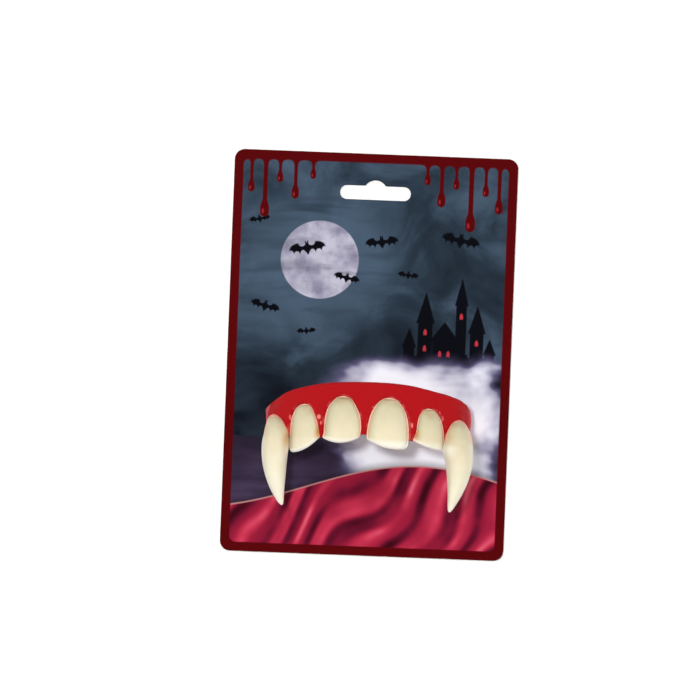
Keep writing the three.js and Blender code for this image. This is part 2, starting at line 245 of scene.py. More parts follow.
incisorDown = (0.0, 0.03, 0.1, 0.25, 0.45, 0.7, 0.87, 0.96, 1.0)
incisorRelief = (0.2, 0.42, 0.68, 0.92, 1.0, 0.94, 0.82, 0.7, 0.55)
incisors = {
    "left_central_incisor": {
        "side": -1,
        "relief": 2.4,
        "edge": (0.9, 1.0, 0.92),  # shares of the length at the inner border, the middle and the outer border
        "inner": (-0.015, -0.15, -0.25, -0.36, -0.46, -0.5, -0.49, -0.455, -0.39),
        "outer": (0.01, 0.14, 0.24, 0.375, 0.447, 0.475, 0.48, 0.5, 0.47),
        "tone": {"start": -0.3, "pace": 1.0, "pale": 0.8},
        "stainsAndLight": [((-9.9, -17.5), (0.35, 0.9), 0.5)],
    },
    "right_central_incisor": {
        "side": 1,
        "relief": 2.4,
        "edge": (0.835, 0.975, 0.98),
        "inner": (0.0, -0.13, -0.235, -0.355, -0.44, -0.487, -0.5, -0.492, -0.46),
        "outer": (0.02, 0.165, 0.27, 0.39, 0.47, 0.5, 0.495, 0.468, 0.41),
        "tone": {"start": 0.7, "pace": 0.88, "pale": 0.75},
        "stainsAndLight": [((0.5, -17.5), (0.35, 2.0), 0.2)],
    },
    "left_lateral_incisor": {
        "side": -1,
        "relief": 2.2,
        "edge": (0.685, 0.92, 1.01),
        "inner": (0.03, -0.1, -0.19, -0.28, -0.37, -0.45, -0.485, -0.5, -0.49),
        "outer": (0.05, 0.2, 0.32, 0.43, 0.482, 0.5, 0.5, 0.465, 0.39),
        "tone": {"start": 0.9, "pace": 0.76, "pale": 0.15},
        "stainsAndLight": [((-11.3, -18.6), (0.75, 1.6), 0.9)],
    },
    "right_lateral_incisor": {
        "side": 1,
        "relief": 2.2,
        "edge": (0.785, 0.94, 1.0),
        "inner": (-0.045, -0.165, -0.24, -0.335, -0.375, -0.405, -0.45, -0.5, -0.49),
        "outer": (-0.03, 0.12, 0.225, 0.36, 0.445, 0.495, 0.5, 0.48, 0.43),
        "tone": {"start": 0.5, "pace": 0.76, "pale": 0.45},
        "stainsAndLight": [((11.9, -18.4), (0.8, 1.3), 0.7)],
    },
}

# where a fang's two faces lie, measured forwards from the plate's face at its neck as shares of its depth
fangBack = (0.05, 0.03, 0.0, -0.08, -0.12, -0.13, -0.1, -0.03, 0.08, 0.17, 0.2, 0.24)
fangFront = (0.08, 0.33, 0.56, 0.76, 0.86, 0.9, 0.86, 0.75, 0.58, 0.42, 0.33, 0.25)
fangs = {
    "left_fang": {
        "side": -1,
        "down": (0.0, 0.02, 0.06, 0.13, 0.21, 0.34, 0.5, 0.66, 0.82, 0.94, 0.985, 1.0),
        "inner": (0.09, -0.07, -0.215, -0.365, -0.475, -0.5, -0.452, -0.425, -0.395, -0.385, -0.37, -0.315),
        "outer": (0.11, 0.235, 0.32, 0.385, 0.435, 0.5, 0.47, 0.35, 0.135, -0.105, -0.23, -0.305),
        "tone": {"start": 1.1, "pace": 0.76, "pale": 0.45},
        # the second stain is painted light on the fang's inner face, and the glow also paints the highlight
        # down its ridge
        "stainsAndLight": [((-18.6, -20.5), (1.0, 2.0), 0.7), ((-18.9, -28.0), (0.8, 5.0), 0.12)],
        "glows": [((-19.8, -25.0), (1.2, 3.5), 0.3)],
    },
    "right_fang": {
        "side": 1,
        "down": (0.0, 0.02, 0.06, 0.13, 0.21, 0.33, 0.48, 0.66, 0.82, 0.94, 0.985, 1.0),
        "inner": (-0.045, -0.185, -0.28, -0.378, -0.445, -0.5, -0.4, -0.325, -0.288, -0.277, -0.255, -0.205),
        "outer": (-0.025, 0.12, 0.235, 0.36, 0.438, 0.493, 0.487, 0.365, 0.165, -0.045, -0.14, -0.195),
        "tone": {"start": 0.9, "pace": 0.68, "pale": 0.3},
        # the second stain is painted light on the fang's inner face, and the glow also paints the highlight
        # down its ridge
        "stainsAndLight": [((19.4, -18.9), (2.1, 1.5), 0.22), ((19.8, -29.5), (0.6, 4.5), 0.12)],
        "glows": [((19.7, -21.7), (1.5, 2.1), 0.5)],
    },
}
neighbours = {"left_lateral_incisor": "left_fang", "right_lateral_incisor": "right_fang"}

toothMaking = {
    "incisorRings": 76,
    "incisorSteps": 40,    # points across the front, and as many across the back
    "fangRings": 110,
    "fangSides": 72,
    "dome": 0.42,          # how round an incisor is across: less is flatter, with fuller borders
    "rim": 0.45,           # thickness at its border
    "flange": 0.062,       # the share of its half width that is a flat moulded border
    "neckFlange": (0.02, 0.06),  # where down it the flat border of the neck ends, and the full relief starts
    "seat": 0.05,          # from the plate's face to its back
    "edgeRound": 0.055,    # the share of its length in which the biting edge rounds off
    "neckRound": 0.05,
    "fangGap": 0.05,       # between an incisor and the fang beside it
    "fangWall": 0.3,       # mm above the plate's lower edge where a fang's back starts to lie in its wall
    "fangWallReach": 0.99,
}

# how both kinds of teeth are tinted, with painted light along their borders. A pair is where a change starts
# and where it is full
toothTint = {
    "plateEdge": -19.9,    # y of the plate's lower edge: the plastic is paler where no red plate is behind it
    "freeFade": (-0.5, 1.1),     # mm below that edge where the plastic gets pale
    "glowFade": (0.3, 1.0),
    "rimFade": (-1.0, 0.6),      # mm below that edge where the tinted outline ends
    "neckTint": 0.95,
    "leftShade": 0.55,
    "shadeFade": (0.45, 1.0),
    "borderPower": 5,      # how close to its borders a tooth changes
    "incisor": {
        "paleFade": (-1.0, 0.0),
        "borderLight": 0.0,
        "tipFade": (0.88, 0.98),
        "tipPale": 0.9,
        "borderTint": 0.0,
        "rim": (0.8884, 0.9504),
        "neck": (0.02, 0.032),
    },
    "fang": {
        "paleFade": (0.25, 0.95),
        # painted light along a fang's borders, in the pale colour and the rim colour, for light on its steep
        # sides
        "borderLight": 0.75,
        "tipFade": (0.86, 1.0),
        "tipPale": 0.85,
        "borderTint": 0.6,
        "rim": (0.82, 0.93),
        "neck": (0.02, 0.045),
    },
}
toothMarks = ("toothDepth", "toothFreeAndLight", "toothStainAndLight", "toothRimTintAndLight", "toothShade")


def toothAttributes(node, points, down, across):
    # what the tooth material reads: mm below the neck, and the parts free of the plate, stained, thin or
    # shaded, with painted light along the borders and on a fang's ridge and inner face, and painted shade on
    # the left side. Down is the share from the neck to the end, and across runs from -1 at the left border to
    # 1
    tooth = fangs[node] if node in fangs else incisors[node]
    kind = toothTint["fang" if node in fangs else "incisor"]
    tone = tooth["tone"]
    x, y = points[..., 0], points[..., 1]
    below = toothTint["plateEdge"] - y
    border = np.abs(across)
    nearBorder = border ** toothTint["borderPower"]
    # the border share is painted light along a fang's borders
    pale = np.maximum(tone["pale"] * smoothStep(down, *kind["paleFade"]), kind["borderLight"] * nearBorder)
    free = np.maximum(
        pale * smoothStep(below, *toothTint["freeFade"]),
        kind["tipPale"] * smoothStep(down, *kind["tipFade"]),
    )
    # the glows also paint the highlight down a fang's ridge
    for centre, reach, strength in tooth.get("glows", []):
        glow = strength * spot(x, y, centre, reach)
        free = np.maximum(free, glow * smoothStep(below, *toothTint["glowFade"]))
    # the rim and neck outline are a peach tint, painted lighter as light on the steep borders
    sideRim = np.maximum(kind["borderTint"] * nearBorder, smoothStep(border, *kind["rim"]))
    neckRim = toothTint["neckTint"] * (1 - smoothStep(down, *kind["neck"]))
    # on the fangs, a faint second stain is painted light on the inner face
    stainAndLight = sum(strength * spot(x, y, centre, reach) for centre, reach, strength in tooth["stainsAndLight"])
    return {
        "toothDepth": (boxOf(node)[1][1] - y) * tone["pace"] + tone["start"],
        "toothFreeAndLight": free,
        "toothStainAndLight": np.clip(stainAndLight, 0, 1),
        "toothRimTintAndLight": np.maximum(sideRim, neckRim) * (1 - smoothStep(below, *toothTint["rimFade"])),
        "toothShade": toothTint["leftShade"] * smoothStep(-across, *toothTint["shadeFade"]),
    }


def endRound(down, start, end):
    # 0 at both ends of a tooth and 1 between, on quarter circles
    atNeck = np.sqrt(np.clip(1 - (1 - np.clip(down / start, 0, 1)) ** 2, 0, 1))
    atEdge = np.sqrt(np.clip(1 - np.clip((down - (1 - end)) / end, 0, 1) ** 2, 0, 1))
    return atNeck * atEdge


def edgeShare(tooth, u):
    # the share of its length that an incisor reaches at u, from -1 at its inner border to 1 at its outer one
    inner, middle, outer = tooth["edge"]
    return middle + u * (outer - inner) / 2 + u * u * ((outer + inner) / 2 - middle)


def incisorFront(node, places, u):
    # x and y in the front view at places down an incisor and at u across it, with the sections there
    tooth = incisors[node]
    low, high = boxOf(node)
    columns = {"down": incisorDown, "relief": incisorRelief, "inner": tooth["inner"], "outer": tooth["outer"]}
    row = readTable(columns, places)
    length = (high[1] - low[1]) / edgeShare(tooth, np.linspace(-1, 1, 201)).max()
    share = row["inner"] + (u + 1) / 2 * (row["outer"] - row["inner"])
    x = (low[0] + high[0]) / 2 + tooth["side"] * (high[0] - low[0]) * share
    return x, high[1] - row["down"] * length * edgeShare(tooth, u), row


def makeIncisor(node):
    tooth, making = incisors[node], toothMaking
    u = 2 * closerAtEnds(making["incisorSteps"])[None, :] - 1
    x, y, row = incisorFront(node, closerAtEnds(making["incisorRings"])[:, None], u)
    if node in neighbours:  # the tooth beside a fang stops at the fang's border
        limit = fangBorder(neighbours[node], y) - tooth["side"] * making["fangGap"]
        x = np.minimum(x, limit) if tooth["side"] > 0 else np.maximum(x, limit)
    down = row["down"]
    crown = u / (1 - making["flange"])
    dome = np.maximum(1 - crown * crown, 0) ** making["dome"] * smoothStep(down, *making["neckFlange"])
    front = making["rim"] + np.maximum(tooth["relief"] * row["relief"] - making["rim"], 0) * dome
    half = front / 2 * endRound(down, making["neckRound"], making["edgeRound"])
    centreOut = making["seat"] + front / 2
    rings = np.concatenate([
        facePoint(x, y, centreOut + half), facePoint(x, y, centreOut - half)[:, ::-1],
    ], axis=1)
    wholeDown = np.concatenate([down * np.ones_like(u)] * 2, axis=1)
    across = tooth["side"] * u * np.ones_like(down)
    attributes = toothAttributes(node, rings, wholeDown, np.concatenate([across, across[:, ::-1]], axis=1))
    return loftPiece(pieceName(node), rings, attributes)


def fangAxis(node, places):
    # centre and half sizes of a fang's sections
    fang = fangs[node]
    low, high = boxOf(node)
    row = readTable({key: fang[key] for key in ("down", "inner", "outer")}, places)
    row.update(readTable({"back": fangBack, "front": fangFront}, places))
    depth = (high[2] - low[2]) / (max(fangFront) - min(fangBack))
    face = low[2] - min(fangBack) * depth
    width = high[0] - low[0]
    centre = (low[0] + high[0]) / 2
    return {
        "y": high[1] - row["down"] * (high[1] - low[1]),
        "down": row["down"],
        "x": centre + fang["side"] * width * (row["inner"] + row["outer"]) / 2,
        "z": face + depth * (row["back"] + row["front"]) / 2,
        "halfWidth": width * (row["outer"] - row["inner"]) / 2,
        "halfDepth": depth * (row["front"] - row["back"]) / 2,
    }


def makeFang(node):
    making = toothMaking
    places = closerAtEnds(making["fangRings"])
    axis = {key: values[:, None] for key, values in fangAxis(node, places).items()}
    turn = 2 * math.pi * (np.arange(making["fangSides"]) + 0.5) / making["fangSides"]
    closing = np.ones_like(places)[:, None]
    closing[0] = closing[-1] = 0
    x = axis["x"] + axis["halfWidth"] * closing * np.cos(turn)
    z = axis["z"] + axis["halfDepth"] * closing * np.sin(turn)
    y = np.broadcast_to(axis["y"], x.shape)
    # above the plate's lower edge its back stops inside the plate's wall
    across = (x - arch["middle"]) / archHalfWidth(y)
    wall = facePoint(x, y, -arch["thickness"] / 2)[..., 2]
    inPlate = (y > gumLow[1] + making["fangWall"]) & (z < wall) & (np.abs(across) < making["fangWallReach"])
    rings = np.stack([x, y, np.where(inPlate, wall, z)], -1)
    ones = np.ones_like(x)
    attributes = toothAttributes(node, rings, axis["down"] * ones, np.cos(turn) * ones)
    return loftPiece(pieceName(node), rings, attributes)


def fangBorder(node, y):
    # x of the inner border of a fang at a height
    axis = fangAxis(node, np.linspace(0, 1, 120))
    inner = axis["x"] - fangs[node]["side"] * axis["halfWidth"]
    order = np.argsort(axis["y"])
    return np.interp(y, axis["y"][order], inner[order])


# the gum plate: the plain wall of the solid, with soft swellings between the teeth and round their necks

gumMarks = ("gumRim", "gumCreaseShade", "gumBeadGlint", "gumLeftEndLight", "gumRightEndLight", "gumEndEdge")
gumMaking = {
    "stations": 420,
    "frontSteps": 104,
    "backSteps": 26,
    "roundSteps": 12,      # points round each of the plate's edges
    "belly": 0.35,         # how far the wall bulges at half its height
    "rimHeight": 0.22,     # the raised margin round each tooth
    "rimDistance": 0.3,    # from the tooth to the top of its margin
    "rimWidth": 0.5,
    "creaseDepth": 0.1,    # the fine groove where gum meets tooth
    "creaseWidth": 0.16,
    "papilla": 0.35,       # the swelling between two teeth
    "papillaReach": 1.5,
    "papillaFade": (11.5, 17.5),  # mm below the card's middle where it starts, and where it is full
    "papillaEdge": 0.7,    # mm from a tooth where it is full
    "papillaPlaces": (-18.2, -10.6, -0.55, 10.6, 18.7),
    "fangSwell": 0.6,      # the swelling over the root of a fang
    "rootDrop": 2.0,       # mm below the fang's top
    "rootReach": (3.2, 3.6),
    "underTooth": (-0.35, 0.25),  # mm from a tooth's outline between which the gum's relief dies out
    "topFade": (0.3, 2.6),        # mm below the top where the relief starts, and where it is full
    "endFade": 0.03,
    "bellyFullness": 1.2,
    "roundTop": 0.5,       # radii of the two edges, in thicknesses of the wall
    "roundBottom": 0.3,
    "marginPlace": 0.2,    # mm from a tooth where its margin is thinnest
    "marginWidth": 0.16,
    # painted shade in the crease where gum meets tooth
    "creaseShade": 0.3,
    "creaseShadeWidth": 0.12,
    "leftEndLight": (0.94, 0.972),   # painted light on the plate's ends: where across the plate it starts to turn pale, and where it is palest
    "rightEndLight": (0.93, 0.98),
    "endEdge": (0.992, 0.999),
    "leftPale": 0.95,
    "rightPale": 0.62,
    "edgePale": 0.7,
    "beadHeight": 0.22,
    "beads": [             # small beads on the gum, with painted pink glints on them: place and reach in mm, strength
        ((-11.1, -15.0), (0.45, 0.56), 1.0), ((-10.55, -16.4), (0.2, 0.45), 1.0),
        ((10.6, -16.2), (0.3, 0.62), 1.0), ((-17.65, -15.4), (0.16, 0.7), 0.8),
        ((-17.6, -17.2), (0.2, 0.6), 0.8), ((1.5, -12.3), (0.2, 0.3), 0.8), ((1.0, -13.2), (0.15, 0.5), 0.8),
        ((0.5, -14.6), (0.12, 0.8), 0.6), ((16.9, -13.0), (0.16, 0.35), 0.6),
        ((17.6, -14.4), (0.14, 0.7), 0.7),
    ],
}

# places across the plate, and where its top and its lower edge lie there as shares of its height from the top
gumEdges = np.array([
    (-1.0, 0.515, 1.0), (-0.95, 0.43, 1.0), (-0.9, 0.362, 1.0), (-0.81, 0.25, 1.0), (-0.61, 0.121, 1.0),
    (-0.41, 0.045, 1.02), (-0.21, 0.012, 0.97), (-0.02, 0.0, 0.94), (0.19, 0.004, 0.97), (0.39, 0.038, 1.02),
    (0.59, 0.114, 1.0), (0.79, 0.205, 1.0), (0.9, 0.285, 1.0), (0.955, 0.37, 1.0), (0.985, 0.47, 1.0),
    (1.0, 0.62, 1.0),
])


def incisorOutline(node):
    # the closed outline of an incisor in the front view: down one border, along the edge and up the other
    places = closerAtEnds(70)
    u = np.linspace(-1, 1, 40)[1:-1]
    lines = [(places, -1.0), (np.ones_like(u), u), (places[::-1], 1.0)]
    return np.concatenate([np.stack(incisorFront(node, *line)[:2], -1) for line in lines])


def insideOutline(x, y, outline):
    # whether points lie inside a closed outline, by counting its crossings
    inside = np.zeros(x.shape, bool)
    for (x0, y0), (x1, y1) in zip(outline, np.roll(outline, -1, axis=0)):
        if y0 == y1:
            continue
        crosses = (y0 > y) != (y1 > y)
        inside ^= crosses & (x < x0 + (y - y0) / (y1 - y0) * (x1 - x0))
    return inside


def toothDistance(points):
    # how far each point of the plate's face is from the nearest tooth; less than 0 is under a tooth
    x, y, z = points[..., 0], points[..., 1], points[..., 2]
    distance = np.full(x.shape, 99.0)
    for node in incisors:
        outline = incisorOutline(node)
        onFace = facePoint(outline[:, 0], outline[:, 1], 0.0)
        near = np.full(x.shape, 99.0)
        for start, end in zip(onFace, np.roll(onFace, -1, axis=0)):
            along = end - start
            span = max(float(along @ along), 1e-9)
            share = np.clip(((points - start) @ along) / span, 0, 1)
            near = np.minimum(near, np.linalg.norm(points - start - share[..., None] * along, axis=-1))
        near = np.where(insideOutline(x, y, outline), -near, near)
        distance = np.where(np.abs(near) < np.abs(distance), near, distance)
    for node in fangs:
        axis = fangAxis(node, np.linspace(0.002, 1, 160))
        order = np.argsort(axis["y"])
        at = {key: np.interp(y, axis["y"][order], values[order]) for key, values in axis.items()}
        ratio = np.hypot((x - at["x"]) / at["halfWidth"], (z - at["z"]) / at["halfDepth"])
        beside = (ratio - 1) * np.minimum(at["halfWidth"], at["halfDepth"])
        above = np.maximum(y - axis["y"].max(), 0)
        near = np.hypot(np.maximum(beside, 0), above) + np.minimum(beside, 0) * (above == 0)
        distance = np.where(near < distance, near, distance)
    return distance


def beadShape(x, y):
    shape = np.zeros_like(x)
    for (placeX, placeY), (reachX, reachY), strength in gumMaking["beads"]:
        shape += strength * smoothStep(1.3 - np.hypot((x - placeX) / reachX, (y - placeY) / reachY), 0, 0.7)
    return np.clip(shape, 0, 1)


def besideTooth(distance):
    # 0 under a tooth, and 1 in the open
    return smoothStep(distance, *gumMaking["underTooth"])


def gumSwell(points):
    # how far the gum's surface stands out from the plain wall, and its distance to the nearest tooth
    making = gumMaking
    x, y = points[..., 0], points[..., 1]
    distance = toothDistance(points)
    beyondRim = np.maximum(distance, 0) - making["rimDistance"]
    swell = making["rimHeight"] * np.exp(-(beyondRim / making["rimWidth"]) ** 2)
    for place in making["papillaPlaces"]:
        gap = np.exp(-((x - place) / making["papillaReach"]) ** 2) * smoothStep(-y, *making["papillaFade"])
        swell += making["papilla"] * gap * smoothStep(distance, 0, making["papillaEdge"])
    swell += making["beadHeight"] * beadShape(x, y)
    for node in fangs:
        low, high = boxOf(node)
        root = ((low[0] + high[0]) / 2, high[1] - making["rootDrop"])
        swell += making["fangSwell"] * spot(x, y, root, making["rootReach"])
    crease = making["creaseDepth"] * np.exp(-(distance / making["creaseWidth"]) ** 2)
    return swell * besideTooth(distance) - crease, distance


def wallSection(top, bottom, steps):
    # heights and distances out from the top down: a quarter round, the wall, and a smaller quarter round
    roundTop = arch["thickness"] * gumMaking["roundTop"]
    roundBottom = arch["thickness"] * gumMaking["roundBottom"]
    turn = np.linspace(math.pi / 2, 0, gumMaking["roundSteps"])[:-1]
    share = np.linspace(0, 1, steps - 2 * len(turn))
    wallTop, wallBottom = top - roundTop, bottom + roundBottom
    y = np.concatenate([
        top - roundTop * (1 - np.sin(turn)),
        wallTop + share * (wallBottom - wallTop),
        bottom + roundBottom * (1 - np.sin(turn[::-1])),
    ], axis=1)
    out = [-roundTop * (1 - np.cos(turn)), np.zeros(share.size), -roundBottom * (1 - np.cos(turn[::-1]))]
    return y, np.concatenate(out) * np.ones_like(y)


def makeGum():
    making = gumMaking
    angle = np.linspace(-math.pi / 2, math.pi / 2, making["stations"])
    across = np.sign(np.sin(angle)) * np.abs(np.sin(angle)) ** (2 / arch["fullness"])
    place, topShare, bottomShare = gumEdges.T
    top = (arch["top"] - arch["height"] * readColumn(place, topShare, across))[:, None]
    bottom = (arch["top"] - arch["height"] * readColumn(place, bottomShare, across))[:, None]
    y, out = wallSection(top, bottom, making["frontSteps"])
    acrossGrid = across[:, None] * np.ones_like(y)
    fullness = making["bellyFullness"]
    belly = making["belly"] * np.sin(np.clip((top - y) / (top - bottom), 0, 1) * math.pi) ** fullness
    flat = archPoint(acrossGrid, y, out)
    swell, distance = gumSwell(flat)
    fade = smoothStep(top - y, *making["topFade"]) * smoothStep(1 - np.abs(acrossGrid), 0, making["endFade"])
    front = archPoint(acrossGrid, y, out + (swell + belly * besideTooth(distance)) * fade)
    backY, backOut = wallSection(top, bottom, making["backSteps"])
    backAcross = across[:, None] * np.ones_like(backY)
    back = archPoint(backAcross, backY, -arch["thickness"] - backOut)
    rings = np.concatenate([front, back[:, ::-1]], axis=1)
    nearTooth = np.concatenate([np.maximum(distance, 0), np.full_like(backY, 99.0)], axis=1)
    wholeAcross = np.concatenate([acrossGrid, backAcross], axis=1)
    attributes = {
        "gumRim": np.exp(-((nearTooth - making["marginPlace"]) / making["marginWidth"]) ** 2),
        # painted shade in the crease at each tooth
        "gumCreaseShade": making["creaseShade"] * np.exp(-(nearTooth / making["creaseShadeWidth"]) ** 2),
        # painted glints on the beads
        "gumBeadGlint": np.concatenate([beadShape(flat[..., 0], y), np.zeros_like(backY)], axis=1),
        # painted light on the plate's ends
        "gumLeftEndLight": making["leftPale"] * smoothStep(-wholeAcross, *making["leftEndLight"]),
        "gumRightEndLight": making["rightPale"] * smoothStep(wholeAcross, *making["rightEndLight"]),
        "gumEndEdge": making["edgePale"] * smoothStep(np.abs(wholeAcross), *making["endEdge"]),
    }
    return loftPiece(pieceName("gum_plate"), rings, attributes, capEnds=True)


# materials

def finishPlastic(add, place, colour, look):
    # the moulded skin of a plastic: a fine ripple, a soft gloss, and some light that goes through it
    peel = add("TexNoise", {
        "Vector": place.outputs["Object"], "Scale": 1 / (look["peelMm"] * mm), "Detail": 2.0,
    })
    bump = add("Bump", {"Height": peel, "Strength": 0.3, "Distance": look["peelDepth"] * mm})
    shader = add("BsdfPrincipled", {
        "Base Color": colour,
        "Roughness": look["roughness"],
        "IOR": 1.53,
        "Specular IOR Level": look["specular"],
        "Specular Tint": look["gloss"],
        "Subsurface Weight": look["inside"],
        "Subsurface Radius": look["insideColour"],
        "Subsurface Scale": look["insideMm"] * mm,
        "Normal": bump,
    })
    add("OutputMaterial", {"Surface": shader})


toothLook = {
    "depth": [  # colour at a distance below the neck, in mm
        (0.0, "#b39a78"),
        (0.9, "#c4af8b"),
        (2.6, "#d1c9a8"),
        (5.6, "#e2d7b7"),
        (8.6, "#ebe1c1"),
        (12.0, "#f3ebcd"),
    ],
    "free": "#fffbee",      # the biting edge, where no red plate is behind the plastic, and painted light along a fang's borders and down its ridge
    "stainAndLight": "#c98b42",     # where the red plate shines through a thin border, and faint painted light on a fang's inner face
    "rim": "#ffc8b0",       # the thin border over the red plate, peach, and painted lighter: painted light on its steep edge
    "shade": "#b3af88",     # the side away from the light
    "gloss": "#ffffff",
    "roughness": 0.38,
    "specular": 0.4,
    "inside": 0.25,         # share, colour and depth of the light that goes through the plastic
    "insideColour": (1.0, 0.62, 0.35),
    "insideMm": 0.8,
    "cloudMm": 3.5,         # size of the faint clouds in the plastic
    "cloudShift": 1.6,      # how far they move the colours up or down, in mm
    "peelMm": 0.55,         # ripple of the moulded surface
    "peelDepth": 0.03,
}


def makeToothMaterial():
    # moulded cream PVC: slightly waxy and translucent, satin from the mould, tinted darker at the neck, with
    # painted light along the borders and painted shade on the side away from the light
    look = toothLook
    material, add = newMaterial("Moulded cream PVC")
    place = add("TexCoord")
    reads = {name: add("Attribute", attribute_name=name).outputs["Fac"] for name in toothMarks}
    clouds = add("TexNoise", {
        "Vector": place.outputs["Object"], "Scale": 1 / (look["cloudMm"] * mm), "Detail": 3.0,
    })
    shift = add("MapRange", {
        "Value": clouds, "From Min": 0.3, "From Max": 0.7,
        "To Min": -look["cloudShift"] / 2, "To Max": look["cloudShift"] / 2,
    })
    depth = add("Math ADD", [reads["toothDepth"], shift])
    deepest = look["depth"][-1][0]
    share = add("Math DIVIDE", [depth, deepest])
    colour = add("ValToRGB", {"Fac": share}, stops=[
        (distance / deepest, hexColour) for distance, hexColour in look["depth"]
    ])
    # painted shade on the left, paleness with painted light along the borders, the rim with painted light,
    # and stains with a faint painted light strip
    for mark, hexColour in (("toothShade", look["shade"]), ("toothFreeAndLight", look["free"]),
                            ("toothRimTintAndLight", look["rim"]), ("toothStainAndLight", look["stainAndLight"])):
        colour = add("Mix", {0: reads[mark], 6: colour, 7: hexColour}, data_type="RGBA")
    finishPlastic(add, place, colour, look)
    return material


gumLook = {
    "red": "#ad171c",
    "deep": "#7d0b11",      # painted shade in the crease at a tooth
    "rimThin": 0.55,        # how thin the margin round a tooth gets
    "thinAndGlint": "#ee8078",      # the thin margin round a tooth, and painted glints on the beads
    "leftEndLight": "#ee6a72",   # the trimmed ends of the plate, painted paler and pinker: painted light on faces that turn away from the lamps
    "rightEndLight": "#ff4e55",
    "endEdge": "#d7a096",   # and the very edge of them
    "gloss": "#b87c7c",     # the skin of the plastic is full of pigment, so even its gloss is a little red
    "cloudMm": 2.2,
    "roughness": 0.48,
    "specular": 0.22,
    "inside": 0.06,
    "insideColour": (1.0, 0.12, 0.1),
    "insideMm": 0.6,
    "peelMm": 0.9,
    "peelDepth": 0.05,
}


def makeGumMaterial():
    # moulded red PVC: a saturated solid red with a soft gloss, paler where it is thin, with painted shade in
    # the creases at the teeth, painted glints on the beads and painted light on the plate's ends
    look = gumLook
    material, add = newMaterial("Moulded red PVC")
    place = add("TexCoord")
    reads = {name: add("Attribute", attribute_name=name).outputs["Fac"] for name in gumMarks}
    clouds = add("TexNoise", {
        "Vector": place.outputs["Object"], "Scale": 1 / (look["cloudMm"] * mm), "Detail": 2.0,
    })
    patches = add("MapRange", {
        "Value": clouds, "From Min": 0.46, "From Max": 0.62, "To Max": look["rimThin"],
    })
    rim = add("Math MULTIPLY", [reads["gumRim"], patches])
    # the pale margin round a tooth, and the painted glints on the beads
    thinAndGlint = add("Math MAXIMUM", [rim, reads["gumBeadGlint"]])
    colour = look["red"]
    layers = [
        # painted shade in the creases, the margin with its painted glints, and painted light on the plate's
        # ends
        (reads["gumCreaseShade"], look["deep"]), (thinAndGlint, look["thinAndGlint"]), (reads["gumLeftEndLight"], look["leftEndLight"]),
        (reads["gumRightEndLight"], look["rightEndLight"]), (reads["gumEndEdge"], look["endEdge"]),
    ]
    for amount, hexColour in layers:
        colour = add("Mix", {0: amount, 6: colour, 7: hexColour}, data_type="RGBA")
    finishPlastic(add, place, colour, look)
    return material


# the card: printed board with a varnished face, bare core at its cut edges and a plain back. The print is
# drawn in millimetres from the middle of the card, one motif over another

cardLook = {
    "border": "#550508",
    "borderWidth": 2.15,
    "cornerRadius": 2.4,
    "pictureRadius": 1.5,
    "core": "#d9d3c6",
    "back": "#b9b4aa",
    "varnishRoughness": 0.32,
    "fibreMm": 0.7,
}


def readPlace(add):
    # where a point lies, in millimetres, and which way its face looks
    place = add("TexCoord")
    solid = add("VectorMath SCALE", {0: place.outputs["Object"], "Scale": 1 / mm})
    apart = add("SeparateXYZ", [solid])
    x, y = apart.outputs[0], apart.outputs[1]
    flat = add("CombineXYZ", [x, y])
    facing = add("SeparateXYZ", [place.outputs["Normal"]])
    return {"solid": solid, "flat": flat, "x": x, "y": y, "up": facing.outputs[2]}


def paint(add, ground, distance, colour, soft=0.1):
    # lays a colour over the ground where the distance to a shape's outline is below 0, which is inside it
    mask = add("MapRange", {
        "Value": distance, "From Min": -soft, "From Max": soft, "To Min": 1.0, "To Max": 0.0,
    })
    return add("Mix", {0: mask, 6: ground, 7: colour}, data_type="RGBA")


def drawOval(add, flat, centre, radii):
    # the distance to an oval's outline, in shares of its radii
    scaled = add("Mapping", {
        "Vector": flat, "Location": (*centre, 0), "Scale": (*radii, 1),
    }, vector_type="TEXTURE")
    length = add("VectorMath LENGTH", [scaled])
    return add("Math SUBTRACT", [length, 1.0])


def drawWave(add, value, length, start=0.0):
    # a wave along a value, of a length in mm
    turn = add("Math MULTIPLY_ADD", [value, 2 * math.pi / length, start])
    return add("Math SINE", [turn])


def drawStreaks(add, place, size, detail, distortion=0.0):
    # clouds that are longer one way than the other, of a size in mm both ways
    stretched = add("Mapping", {"Vector": place["flat"], "Scale": (1 / size[0], 1 / size[1], 1)})
    return add("TexNoise", {"Vector": stretched, "Scale": 1.0, "Detail": detail, "Distortion": distortion})


skyLook = {
    "tones": [(0.25, "#10151f"), (0.45, "#27333f"), (0.68, "#4a5c70")],
    "cloudMm": 17.0,
    "shift": (-0.13, 0.04),       # of the tones at the card's foot and top, which are 45 mm from its middle
    "shiftSpan": 45.0,
    "moonPlace": (-12.5, 22.0),
    "moonRadius": 9.2,
    "moonTones": [(0.38, "#837f96"), (0.6, "#bdbacb")],
    "seaMm": 7.0,
    "halo": "#4a5c70",
    "haloMm": 15.0,
    "haloStrength": 0.75,
    "veil": "#27333f",
    "veilMm": (30.0, 5.0),
}


